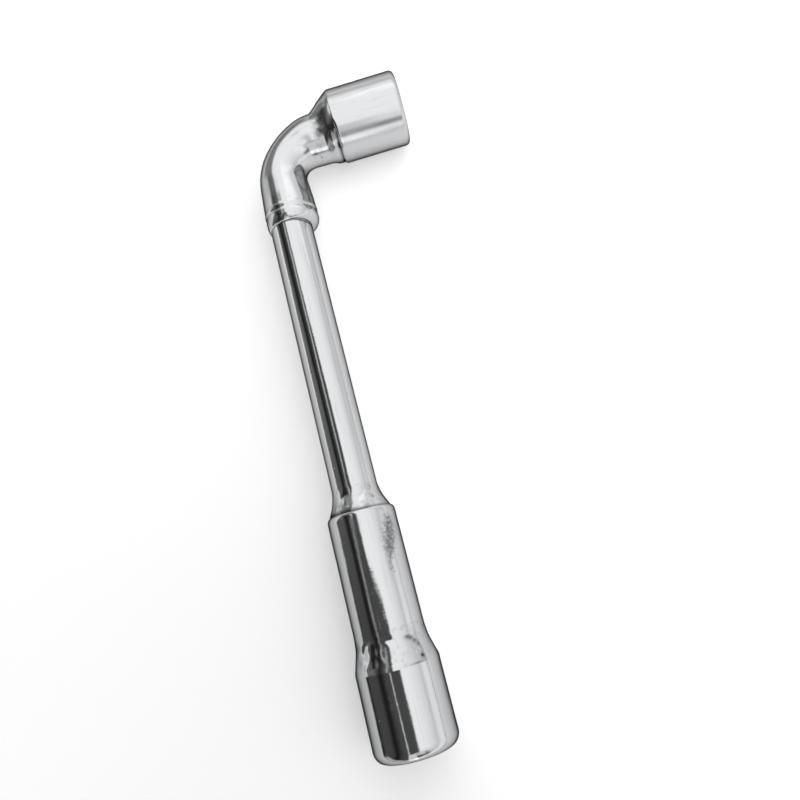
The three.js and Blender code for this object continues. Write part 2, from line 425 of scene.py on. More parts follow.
@dataclass(frozen=True)
class Chrome:
    """Bright chromium plate on steel: a neutral grey mirror, slightly veiled where the steel was ground.

    Sizes and depths are in millimetres. The lathe marks run around an arm, so each is long across it
    and short along it. Streaks, orange peel, lathe marks and pits are drawn coarser than real ones, so
    that they show. The edge colour is a painted shade on what the plate mirrors at a grazing angle:
    darker than real chromium's, so that outlines stay dark against a white floor.
    """

    name: str
    slot: Slot
    colour: str
    streak_colour: str
    roughness: float
    veil_roughness: float
    veil: Pattern
    streaks: Pattern
    peel: Pattern
    peel_depth: float
    marks: Pattern
    mark_depth: float
    mark_share: float
    grain: Pattern = Pattern((0.8, 0.8, 0.8), detail=4.0, roughness=0.7)
    pit_size: float = 4.5
    pit_depth: float = 0.03
    # Painted shade at grazing angles: darker than real chromium's edge colour.
    edge_colour: str = "#343536"
    worn_colour: str = "#6c6d6f"
    worn_roughness: float = 0.3
    # Painted shade: this near-black is mixed in where welds' creases, feet and pits should look dark.
    painted_shade_colour: str = "#141415"
    veil_limits: Limits = (0.4, 0.75)
    streak_limits: Limits = (0.5, 0.75)
    wear_limits: Limits = (0.72, 1.25)
    pit_limits: Limits = (0.02, 0.05)

    def material(self) -> bpy.types.Material:
        """Build the node material.

        Returns:
            The material, with its colour, gloss and relief all varying over the surface.
        """
        made = bpy.data.materials.new(self.name)
        tree = empty_nodes(made)
        shares = self.shares(tree)
        colour = linear(self.colour)
        # The last layer paints shade into the colour: it darkens creases, weld feet and pits.
        layers = {"streaks": self.streak_colour, "wear": self.worn_colour, "painted_shade": self.painted_shade_colour}
        for label, layer in layers.items():
            mixed = add_node(
                tree,
                "ShaderNodeMix",
                {"data_type": "RGBA"},
                {"Factor": shares[label], "A": colour, "B": linear(layer)},
            )
            colour = mixed.outputs["Result"]
        gloss = add_node(
            tree,
            "ShaderNodeMapRange",
            inputs={"Value": shares["veil"], "To Min": self.roughness, "To Max": self.veil_roughness},
        )
        dulled = add_node(
            tree,
            "ShaderNodeMix",
            inputs={"Factor": shares["wear"], "A": gloss.outputs["Result"], "B": self.worn_roughness},
        )
        surface = add_node(
            tree,
            "ShaderNodeBsdfPrincipled",
            inputs={
                "Base Color": colour,
                "Metallic": 1.0,
                "Specular Tint": linear(self.edge_colour),
                "Roughness": dulled.outputs["Result"],
                "Normal": self.relief(tree, shares),
            },
        )
        add_node(tree, "ShaderNodeOutputMaterial", inputs={"Surface": surface.outputs["BSDF"]})
        return made

    def shares(self, tree: bpy.types.NodeTree) -> dict[str, bpy.types.NodeSocket]:
        """Build the patterns that say where the plate is veiled, streaked, worn, darkened by painted
        shade, or pitted.

        Args:
            tree: the material's nodes.

        Returns:
            A share from 0 to 1 for each of these, and the bare orange peel and lathe marks.
        """
        place = add_node(tree, "ShaderNodeTexCoord").outputs["Object"]
        made = {}
        for mark in ("painted_shade", "wear"):
            made[mark] = add_node(tree, "ShaderNodeAttribute", {"attribute_name": mark}).outputs["Fac"]
        patterns = {
            "grain": self.grain,
            "veil": self.veil,
            "streaks": self.streaks,
            "peel": self.peel,
            "marks": self.marks,
        }
        for label, pattern in patterns.items():
            scale = pattern.scale()
            drawn = add_node(tree, "ShaderNodeMapping", inputs={"Vector": place, "Scale": scale})
            clouds = add_node(
                tree,
                "ShaderNodeTexNoise",
                inputs={
                    "Vector": drawn.outputs["Vector"],
                    "Scale": 1.0,
                    "Detail": pattern.detail,
                    "Roughness": pattern.roughness,
                },
            )
            made[label] = clouds.outputs["Fac"]
        cells = add_node(
            tree,
            "ShaderNodeTexVoronoi",
            inputs={"Vector": place, "Scale": 1 / (self.pit_size * MM)},
        )
        made["pits"] = cells.outputs["Distance"]
        speckle = add_node(
            tree,
            "ShaderNodeMath",
            {"operation": "ADD"},
            {0: made["wear"], 1: made["grain"]},
        )
        made["wear"] = speckle.outputs["Value"]
        borders = {
            "veil": self.veil_limits,
            "streaks": self.streak_limits,
            "wear": self.wear_limits,
            "pits": self.pit_limits,
        }
        for label, (start, end) in borders.items():
            eased = add_node(
                tree,
                "ShaderNodeMapRange",
                {"interpolation_type": "SMOOTHSTEP"},
                {"Value": made[label], "From Min": start, "From Max": end},
            )
            made[label] = eased.outputs["Result"]
        return made

    def relief(
        self,
        tree: bpy.types.NodeTree,
        shares: dict[str, bpy.types.NodeSocket],
    ) -> bpy.types.NodeSocket:
        """Build the fine relief: orange peel, lathe marks where the plate is veiled or worn, and pits.

        Args:
            tree: the material's nodes.
            shares: the patterns of the plate.

        Returns:
            The surface normal.
        """
        patchy = add_node(
            tree,
            "ShaderNodeMapRange",
            inputs={"Value": shares["veil"], "To Min": self.mark_share, "To Max": 1.0},
        )
        shown = add_node(
            tree,
            "ShaderNodeMath",
            {"operation": "MAXIMUM"},
            {0: patchy.outputs["Result"], 1: shares["wear"]},
        )
        faded = add_node(
            tree,
            "ShaderNodeMath",
            {"operation": "MULTIPLY"},
            {0: shares["marks"], 1: shown.outputs["Value"]},
        )
        peel = add_node(
            tree,
            "ShaderNodeBump",
            inputs={"Height": shares["peel"], "Strength": 1.0, "Distance": self.peel_depth * MM},
        )
        normal = peel.outputs["Normal"]
        heights = ((faded.outputs["Value"], self.mark_depth), (shares["pits"], self.pit_depth))
        for height, depth in heights:
            bump = add_node(
                tree,
                "ShaderNodeBump",
                inputs={"Height": height, "Strength": 1.0, "Distance": depth * MM, "Normal": normal},
            )
            normal = bump.outputs["Normal"]
        return normal


# A mirror plate over turned steel: sharp reflections whose borders fray where lathe marks show through.
POLISHED_CHROME = Chrome(
    name="polished chromium plate",
    slot=Slot.POLISHED,
    colour="#babbbc",
    streak_colour="#b0b1b2",
    roughness=0.075,
    veil_roughness=0.12,
    veil=Pattern((9.0, 9.0, 9.0), detail=5.0, roughness=0.6),
    streaks=Pattern((0.7, 18.0, 0.7), detail=3.0, roughness=0.65),
    peel=Pattern((4.0, 4.0, 4.0), detail=2.0, roughness=0.45),
    peel_depth=0.012,
    marks=Pattern((2.4, 0.45, 2.4), detail=2.0, roughness=0.6),
    mark_depth=0.045,
    mark_share=0.4,
)
# A belt-ground plate: the same metal with softer reflections, from lines drawn along the short arm.
SATIN_CHROME = Chrome(
    name="satin chromium plate",
    slot=Slot.SATIN,
    colour="#bbbcbd",
    streak_colour="#b3b4b5",
    roughness=0.14,
    veil_roughness=0.19,
    veil=Pattern((6.0, 6.0, 6.0), detail=5.0, roughness=0.6),
    streaks=Pattern((9.0, 0.6, 0.6), detail=3.0, roughness=0.65),
    peel=Pattern((3.5, 3.5, 3.5), detail=2.0, roughness=0.45),
    peel_depth=0.01,
    marks=Pattern((3.0, 0.6, 0.6), detail=2.0, roughness=0.6),
    mark_depth=0.006,
    mark_share=0.5,
)
# A plate over a ground weld: bright, but lumpy enough to break up what it reflects.
WELD_CHROME = Chrome(
    name="chromium plate on ground weld",
    slot=Slot.WELD,
    colour="#b8b9ba",
    streak_colour="#a6a7a8",
    roughness=0.08,
    veil_roughness=0.2,
    veil=Pattern((4.0, 4.0, 4.0), detail=5.0, roughness=0.6),
    streaks=Pattern((1.2, 1.2, 1.2), detail=3.0, roughness=0.65),
    peel=Pattern((1.8, 1.8, 1.8), detail=2.0, roughness=0.45),
    peel_depth=0.03,
    marks=Pattern((1.6, 0.8, 1.6), detail=2.0, roughness=0.6),
    mark_depth=0.03,
    mark_share=0.0,
)
# The short socket's plate: ground along the arm and hardly polished after it, so reflections only glow.
BRUSHED_CHROME = replace(
    SATIN_CHROME,
    name="brushed chromium plate",
    streak_colour="#b0b1b2",
    roughness=0.18,
    veil_roughness=0.22,
    mark_depth=0.01,
)
# The neck's weld: ground by hand and plated, with the same soft glow and broad low lumps.
SOFT_WELD_CHROME = replace(
    WELD_CHROME,
    name="chromium plate on hand-ground weld",
    roughness=0.16,
    veil_roughness=0.24,
)
FINISHES = (POLISHED_CHROME, SATIN_CHROME, BRUSHED_CHROME, WELD_CHROME, SOFT_WELD_CHROME)


@dataclass(kw_only=True)
class Piece:
    """One piece of the wrench, which stands for one node of the frame."""

    sizes: Sizes
    name: str
    node: str
    finish: Chrome

    def skin(self) -> Skin:
        """Make the piece's surface."""
        raise NotImplementedError

    def build(self) -> bpy.types.Object:
        """Build the mesh object."""
        return self.skin().to_object(self.name)

    def dress(self, made: bpy.types.Object, material: bpy.types.Material) -> None:
        """Give the mesh object its finish and let it stand for its node.

        Args:
            made: the piece's object.
            material: the material of its finish.
        """
        made.data.materials.append(material)
        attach(made, ROOT_BODY)
        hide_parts(self.node)


@dataclass(kw_only=True)
class Socket(Piece):
    """A socket cup with a rounded nose, a six-sided recess and a lead-in cone at its mouth.

    The nose is given by its width and its length.
    """

    nose: tuple[float, float]
    waves: Ripple
    wave_fade: Limits
    hex_size: float = 17.0
    lead_in: float = 0.9
    edge: float = 0.15
    edge_drop: float = 0.06
    wall_gap: float = 0.02
    pitch: float = 0.9
    nose_rings: int = 15
    wall_rings: int = 8

    def add_outside(self, skin: Skin, turning: Turning, radius: float, start: float, end: float) -> None:
        """Add the rippled outside, which nowhere stands proud of the plain cup.

        Args:
            skin: the surface to add to.
            turning: makes rings on the cup's arm.
            radius: the cup's outer radius.
            start: the station of the cup's back, where the ripples fade out.
            end: the station where the nose begins.
        """
        for station in steps(start, end, self.pitch)[:-1]:
            fade = smooth_share(abs(station - start), self.wave_fade)
            sunk = self.waves.around(station, radius) - self.waves.height
            skin.add(turning.ring(radius + fade * sunk, station))

    def add_mouth(self, skin: Skin, turning: Turning, radius: float, mouth: float, depth: float) -> None:
        """Add the rounded nose, the flat ring around the recess, the lead-in cone and the six walls.

        Args:
            skin: the surface to add to, already at the cup's outside.
            turning: makes rings on the cup's arm.
            radius: the cup's outer radius.
            mouth: the station of the mouth's face.
            depth: how far the recess goes in along the arm, negative where it goes against the arm.
        """
        inward = math.copysign(1.0, depth)
        width, length = self.nose
        for turn in np.linspace(QUARTER_TURN, 0, self.nose_rings):
            station = mouth + inward * length * (1 - math.cos(turn))
            skin.add(turning.ring(radius - width * (1 - math.sin(turn)), station))
        # The recess has corners straight up and down.
        recess = self.hex_size / 2 / np.cos(TURNS % (math.pi / 3) - math.pi / 6)
        cone = self.hex_size / 2 + self.lead_in
        face = np.maximum(recess, cone)
        skin.add(turning.ring(face + self.edge, mouth))
        skin.add(turning.ring(face, mouth + inward * self.edge_drop))
        skin.add(turning.ring(recess, mouth + inward * np.maximum(cone - recess, self.edge)))
        for share in np.linspace(self.lead_in / abs(depth) + self.wall_gap, 1, self.wall_rings):
            skin.add(turning.ring(recess, mouth + depth * share))


@dataclass(kw_only=True)
class LongSocket(Socket):
    """The deep socket at the end of the long arm, open behind for the barrel's spigot."""

    name: str = "long_socket_cup"
    node: str = "long_socket"
    finish: Chrome = POLISHED_CHROME
    nose: tuple[float, float] = (2.4, 3.2)
    waves: Ripple = Ripple(size=11.0, height=0.03, seed=3.1)
    wave_fade: Limits = (0.0, 2.0)
    spigot_hole: float = 9.2

    def skin(self) -> Skin:
        """Make the cup from its back to its mouth, down the recess and out through the spigot's hole.

        Returns:
            The cup's surface.
        """
        sizes = self.sizes
        turning = Turning(sizes, Arm.LONG)
        skin = Skin(hose=True)
        nose_start = sizes.long_mouth + self.nose[1]
        self.add_outside(skin, turning, sizes.long_radius, sizes.long_back, nose_start)
        depth = sizes.barrel_foot - sizes.long_mouth
        self.add_mouth(skin, turning, sizes.long_radius, sizes.long_mouth, depth)
        skin.add(turning.ring(self.spigot_hole, sizes.barrel_foot))
        skin.add(turning.ring(self.spigot_hole, sizes.long_back))
        return skin


@dataclass(frozen=True)
class BackEdge:
    """The short socket's back edge: rounded, but a plain corner on the outer side of the bend.

    Drops are in millimetres and arcs in degrees. The limits are where the edge turns plain, from 0 on
    the inner side of the L to 1 on the outer.
    """

    drop: float = 0.6
    plain_drop: float = 0.1
    arc: float = 60.0
    plain_arc: float = 26.0
    limits: Limits = (0.19, 0.32)

    def plain(self) -> np.ndarray:
        """Give the share of the plain corner around a ring."""
        return smooth_share((1 - np.sin(TURNS)) / 2, self.limits)

    def drops(self) -> np.ndarray:
        """Give how far the edge is rounded down around a ring."""
        return self.drop + (self.plain_drop - self.drop) * self.plain()

    def arcs(self) -> np.ndarray:
        """Give how far the rounding turns around a ring, in radians."""
        return np.radians(self.arc + (self.plain_arc - self.arc) * self.plain())


@dataclass(kw_only=True)
class ShortSocket(Socket):
    """The socket on the short arm, closed behind apart from the bore for the neck's tenon."""

    name: str = "short_socket_cup"
    node: str = "short_socket"
    finish: Chrome = BRUSHED_CHROME
    nose: tuple[float, float] = (1.5, 1.8)
    waves: Ripple = Ripple(size=9.0, height=0.02, seed=7.7)
    wave_fade: Limits = (0.0, 1.4)
    hex_depth: float = 16.0
    floor_rim: float = 0.6
    drill_point: float = 1.6
    drill_tip: float = 0.4
    tenon_hole: float = 5.8
    tenon_gap: float = 0.3
    back_edge: BackEdge = BackEdge()
    back_reach: float = 1.4
    back_rings: int = 11

    def skin(self) -> Skin:
        """Make the cup from the tenon's bore, over its back edge to the mouth and down to its floor.

        Returns:
            The cup's surface.
        """
        sizes = self.sizes
        turning = Turning(sizes, Arm.SHORT)
        skin = Skin(hose=False)
        skin.add(turning.ring(self.tenon_hole, sizes.tenon_end + self.tenon_gap, sizes.neck_offset))
        skin.add(turning.ring(self.tenon_hole, sizes.short_back, sizes.neck_offset))
        arc = self.back_edge.arcs()
        curve = self.back_edge.drops() / (1 - np.cos(arc))
        for share in np.linspace(1, 0, self.back_rings):
            turn = arc * share
            station = sizes.short_back + curve * (np.sin(arc) - np.sin(turn))
            skin.add(turning.ring(sizes.short_radius - curve * (1 - np.cos(turn)), station))
        start = sizes.short_back + self.back_reach
        self.add_outside(skin, turning, sizes.short_radius, start, sizes.short_mouth - self.nose[1])
        self.add_mouth(skin, turning, sizes.short_radius, sizes.short_mouth, -self.hex_depth)
        floor = sizes.short_mouth - self.hex_depth
        skin.add(turning.ring(self.hex_size / 2 - self.floor_rim, floor))
        skin.add(turning.ring(self.drill_tip, floor - self.drill_point))
        return skin


@dataclass(kw_only=True)
class Barrel(Piece):
    """The thick tube behind the long socket, with its spigot, its stud bore and a softened top edge.

    The top edge is given by its width and its length.
    """

    name: str = "barrel_tube"
    node: str = "barrel"
    finish: Chrome = POLISHED_CHROME
    bore_gap: float = 0.3
    spigot_wall: float = 1.5
    top_edge: tuple[float, float] = (0.8, 1.7)
    top_rings: int = 9
    bore_pitch: float = 3.0
    pitch: float = 0.6
    waves: Ripple = Ripple(size=8.0, height=0.03, seed=1.3)
    foot_fade: Limits = (-1.0, 2.0)
    top_fade: Limits = (1.7, 3.5)
    scuffs: tuple[Dent, ...] = (
        Dent(-42.8, 53, 3.0, 2.8, 0.50),
        Dent(-47.2, 49, 3.2, 3.4, 0.53),
        Dent(-51.2, 42, 2.8, 2.4, 0.52),
        Dent(-56.0, 37, 3.0, 1.3, 0.46),
    )
    dents: tuple[Dent, ...] = (
        Dent(-46.5, 42, 2.5, 1.4, 0.06),
        Dent(-50.5, 47, 2.0, 1.5, 0.07),
    )

    def skin(self) -> Skin:
        """Make the tube up its bore, over the top edge, down its outside and down the spigot.

        Returns:
            The tube's surface.
        """
        sizes = self.sizes
        turning = Turning(sizes, Arm.LONG)
        skin = Skin(hose=True)
        bore = sizes.shank_radius + self.bore_gap
        spigot = bore + self.spigot_wall
        plain = sizes.barrel_radius
        for station in steps(sizes.barrel_foot, sizes.barrel_top, self.bore_pitch):
            skin.add(turning.ring(bore, station))
        width, length = self.top_edge
        for turn in np.linspace(0, QUARTER_TURN, self.top_rings):
            station = sizes.barrel_top - length * (1 - math.cos(turn))
            skin.add(turning.ring(plain - width * (1 - math.sin(turn)), station))
        for station in steps(sizes.barrel_top - length, sizes.long_back, self.pitch)[1:]:
            fade = smooth_share(station - sizes.long_toe, self.foot_fade)
            fade *= smooth_share(sizes.barrel_top - station, self.top_fade)
            lift = self.waves.around(station, plain) - depths(self.dents, station, plain)
            skin.add(turning.ring(plain + fade * lift, station), wear=depths(self.scuffs, station, plain))
        skin.add(turning.ring(spigot, sizes.long_back))
        skin.add(turning.ring(spigot, sizes.barrel_foot))
        return skin


@dataclass(frozen=True)
class Seat:
    """Where a fillet weld sits: the radii inside it and at its foot, and the stations of foot and toe."""

    inner: float
    foot_radius: float
    foot: float
    toe: float


@dataclass(kw_only=True)
class Fillet(Piece):
    """A ground fillet weld that climbs from a wide foot to a thin toe on the piece that it surrounds.

    Its height falls as 1 less the share of the way to the toe to the power of hold, all to the power
    of sweep.
    """

    finish: Chrome = WELD_CHROME
    hold: float
    sweep: float
    lumps: Ripple
    dents: tuple[Dent, ...]
    # Spots and bands of painted shade, each with its share as the depth.
    shade_spots: tuple[Dent, ...]
    toe_thickness: float = 0.03
    pitch: float = 0.35
    foot_fade: Limits = (0.0, 0.15)
    toe_fade: Limits = (0.0, 0.3)

    def seat(self) -> Seat:
        """Give the weld's place."""
        raise NotImplementedError

    def skin(self) -> Skin:
        """Make the weld from its foot to its toe and back along the piece inside it.

        Returns:
            The weld's surface.
        """
        seat = self.seat()
        turning = Turning(self.sizes, Arm.LONG)
        skin = Skin(hose=True)
        toe_radius = seat.inner + self.toe_thickness
        lowest = seat.inner + self.toe_thickness / 2
        for station in steps(seat.foot, seat.toe, self.pitch):
            share = (station - seat.foot) / (seat.toe - seat.foot)
            plain = toe_radius + (seat.foot_radius - toe_radius) * (1 - share ** self.hold) ** self.sweep
            fade = smooth_share(share, self.foot_fade) * smooth_share(1 - share, self.toe_fade)
            lift = self.lumps.around(station, plain) - depths(self.dents, station, plain)
            radii = np.maximum(plain + fade * lift, lowest)
            # The spots paint shade into the weld's colour.
            skin.add(turning.ring(radii, station), painted_shade=depths(self.shade_spots, station, plain))
        skin.add(turning.ring(seat.inner, seat.toe))
        skin.add(turning.ring(seat.inner, seat.foot))
        return skin


@dataclass(kw_only=True)
class ShoulderWeld(Fillet):
    """The weld between the long socket and the barrel: dented, with a pit, and painted shade along a
    crease and in the pit.
    """

    name: str = "long_socket_fillet"
    node: str = "long_socket_weld"
    hold: float = 1.3
    sweep: float = 2.6
    lumps: Ripple = Ripple(size=3.5, height=0.12, seed=1.9)
    dents: tuple[Dent, ...] = (
        Dent(-75.8, 35, 0.7, 1.2, 0.10),
        Dent(-77.2, 44, 0.8, 1.2, 0.14),
        Dent(-79.2, 50, 1.0, 0.8, 0.14),
        Dent(-81.1, 46.5, 0.7, 0.7, 0.28),
        Dent(-75.6, -28, 1.1, 0.9, -0.16),
        Dent(-77.4, -21, 1.0, 0.8, 0.14),
        Dent(-78.8, -29, 1.0, 0.8, -0.16),
        Dent(-80.6, -22, 0.9, 0.8, 0.13),
        Dent(-81.0, -36, 0.8, 0.8, -0.12),
        Dent(-77.0, -40, 1.3, 0.9, 0.15),
        Dent(-79.6, -45, 1.2, 0.9, -0.15),
        Dent(-75.4, -47, 1.2, 1.0, -0.14),
        Dent(-78.4, -12, 2.2, 1.0, -0.09),
        Dent(-75.2, 5, 0.9, 1.2, 0.10),
    )
    # Painted shade along the crease, darkest in the pit.
    shade_spots: tuple[Dent, ...] = (
        Dent(-75.4, 33, 0.4, 0.9, 0.75),
        Dent(-76.0, 38, 0.45, 0.9, 0.75),
        Dent(-76.9, 43.5, 0.5, 0.8, 0.8),
        Dent(-78.2, 48, 0.7, 0.55, 0.75),
        Dent(-79.6, 50, 0.8, 0.45, 0.5),
        Dent(-81.2, 46.5, 0.6, 0.7, 1.2),
        Dent(-82.6, 36, 0.3, 2.4, 0.6),
    )

    def seat(self) -> Seat:
        """Give the weld's place on the barrel, behind the long socket."""
        sizes = self.sizes
        return Seat(sizes.barrel_radius, sizes.long_radius, sizes.long_back, sizes.long_toe)


@dataclass(kw_only=True)
class TrumpetWeld(Fillet):
    """The weld on top of the barrel, around the shank, with painted shade along its foot."""

    name: str = "barrel_fillet"
    node: str = "barrel_weld"
    hold: float = 1.0
    sweep: float = 1.7
    lumps: Ripple = Ripple(size=2.8, height=0.1, seed=6.3)
    dents: tuple[Dent, ...] = (
        Dent(-34.2, -18, 0.9, 0.7, -0.16),
        Dent(-36.2, -10, 0.8, 0.9, 0.14),
        Dent(-35.8, -40, 1.0, 0.8, -0.15),
        Dent(-35.2, 42, 0.9, 0.7, 0.14),
        Dent(-36.6, 12, 0.9, 1.2, -0.14),
    )
    # Painted shade along the foot, and in one small hollow.
    shade_spots: tuple[Dent, ...] = (
        Dent(-37.7, -42, 0.8, 3.4, 0.8),
        Dent(-37.7, -10, 0.75, 2.8, 0.75),
        Dent(-37.9, 18, 0.45, 3.0, 0.6),
        Dent(-38.0, 50, 0.4, 3.4, 0.6),
        Dent(-35.0, 43, 0.4, 0.35, 0.6),
    )

    def seat(self) -> Seat:
        """Give the weld's place on the shank, above the barrel."""
        sizes = self.sizes
        return Seat(sizes.shank_radius, sizes.barrel_weld_radius, sizes.barrel_top, sizes.barrel_toe)


@dataclass(kw_only=True)
class Shank(Piece):
    """The round bar between the barrel and the elbow, with its seat below and its tenon above."""

    name: str = "shank_bar"
    node: str = "shank"
    finish: Chrome = POLISHED_CHROME
    tenon_radius: float = 4.5
    chamfer: float = 0.8
    tip: float = 0.5
    pitch: float = 1.2
    waves: Ripple = Ripple(size=9.0, height=0.02, seed=5.9)
    foot_fade: Limits = (-1.0, 3.0)
    top_fade: Limits = (0.0, 3.0)

    def skin(self) -> Skin:
        """Make the bar from its foot in the barrel to the top of its tenon.

        Returns:
            The bar's surface.
        """
        sizes = self.sizes
        turning = Turning(sizes, Arm.LONG)
        skin = Skin(hose=False)
        plain = sizes.shank_radius
        skin.add(turning.ring(self.tip, sizes.shank_foot))
        skin.add(turning.ring(plain - self.chamfer, sizes.shank_foot))
        for station in steps(sizes.shank_foot + self.chamfer, sizes.collar, self.pitch):
            fade = smooth_share(station - sizes.barrel_toe, self.foot_fade)
            fade *= smooth_share(sizes.collar - station, self.top_fade)
            skin.add(turning.ring(plain + fade * self.waves.around(station, plain), station))
        skin.add(turning.ring(self.tenon_radius, sizes.collar))
        skin.add(turning.ring(self.tenon_radius, sizes.shank_top - self.chamfer))
        skin.add(turning.ring(self.tenon_radius - self.chamfer, sizes.shank_top))
        return skin


@dataclass(frozen=True)
class Bead:
    """A ridge around the elbow's leg, or a groove where the rise is negative."""

    height: float
    width: float
    rise: float

    def at(self, height: float) -> float:
        """Give how far the bead stands out at a height above the collar."""
        return self.rise * math.exp(-((height - self.height) / self.width) ** 2)


@dataclass(kw_only=True)
class Elbow(Piece):
    """The bent neck: a rolled collar lip, a leg, the bend with its waist, and the socket's tenon."""

    name: str = "elbow_neck"
    node: str = "elbow"
    finish: Chrome = SATIN_CHROME
    lip_height: float = 3.0
    leg: float = 13.5
    bend_radius: float = 14.7
    waist: float = 7.85
    tenon: float = 5.5
    tenon_bore: float = 4.8
    tenon_bore_depth: float = 9.3
    groove: Bead = Bead(height=4.6, width=0.5, rise=-0.14)
    ridge: Bead = Bead(height=5.7, width=0.6, rise=0.08)
    wave_size: float = 7.0
    wave_height: float = 0.05
    wave_seed: float = 2.0
    wave_fade: Limits = (1.2, QUARTER_TURN)
    lip_rings: int = 14
    bend_rings: int = 40
    leg_pitch: float = 0.3

    def ring(self, x: float, y: float, radius: float, heading: float, wave_height: float = 0.0) -> Ring:
        """Make a ring square to a heading in the plane of the L.

        Args:
            x: the centre's place across the long arm, from its axis.
            y: the centre's place along the long arm.
            radius: the ring's radius.
            heading: radians from +X to the ring's normal.
            wave_height: the height of the random ripples on it.

        Returns:
            The ring's points in the part's frame.
        """
        side = (math.sin(heading), -math.cos(heading), 0.0)
        out = np.outer(np.sin(TURNS), side) + np.outer(np.cos(TURNS), (0.0, 0.0, 1.0))
        plain = np.array([self.sizes.axis_x + x, y, self.sizes.axis_z]) + radius * out
        shift = Vector((self.wave_seed, 0.0, 0.0))
        lifts = [wave_height * noise.noise(Vector(point) / self.wave_size + shift) for point in plain]
        return plain + np.array(lifts)[:, None] * out

    def girth(self, along: float) -> float:
        """Give the radius along the leg and the bend, with the waist halfway round the bend.

        Args:
            along: millimetres from the top of the lip.

        Returns:
            The radius there, before any bead or ripple.
        """
        half_bend = self.bend_radius * QUARTER_TURN / 2
        to_waist = self.leg + half_bend
        collar = self.sizes.collar_radius
        narrowed = (self.waist - collar) * smooth_share(along, (0.0, to_waist))
        widened = (NECK_RADIUS - self.waist) * smooth_share(along, (to_waist, to_waist + half_bend))
        return collar + narrowed + widened

    def skin(self) -> Skin:
        """Make the elbow from its bore over the lip, along the leg and the bend to the end of its tenon.

        Returns:
            The elbow's surface.
        """
        sizes = self.sizes
        offset = sizes.collar_left + sizes.collar_radius - sizes.axis_x
        lip_top = sizes.collar + self.lip_height
        bend_start = lip_top + self.leg
        skin = Skin(hose=False)
        skin.add(self.ring(0.0, sizes.collar + self.tenon_bore_depth, self.tenon_bore, QUARTER_TURN))
        skin.add(self.ring(0.0, sizes.collar, self.tenon_bore, QUARTER_TURN))
        for turn in np.linspace(0, QUARTER_TURN, self.lip_rings):
            grown = math.sin(turn)
            radius = sizes.shank_radius + (sizes.collar_radius - sizes.shank_radius) * grown
            y = sizes.collar + self.lip_height * (1 - math.cos(turn))
            skin.add(self.ring(offset * grown, y, radius, QUARTER_TURN))
        for along in steps(0.0, self.leg, self.leg_pitch)[1:]:
            height = self.lip_height + along
            radius = self.girth(along) + self.groove.at(height) + self.ridge.at(height)
            skin.add(self.ring(offset, lip_top + along, radius, QUARTER_TURN, self.wave_height))
        for turn in np.linspace(0, QUARTER_TURN, self.bend_rings)[1:]:
            x = offset + self.bend_radius * (1 - math.cos(turn))
            y = bend_start + self.bend_radius * math.sin(turn)
            waves = self.wave_height * (1 - smooth_share(turn, self.wave_fade))
            radius = self.girth(self.leg + self.bend_radius * turn)
            skin.add(self.ring(x, y, radius, QUARTER_TURN - turn, waves))
        neck_y = bend_start + self.bend_radius
        back = sizes.short_back - sizes.axis_x
        tenon_end = sizes.tenon_end - sizes.axis_x
        for x, radius in ((back, NECK_RADIUS), (back, self.tenon), (tenon_end, self.tenon)):
            skin.add(self.ring(x, neck_y, radius, 0.0))
        return skin


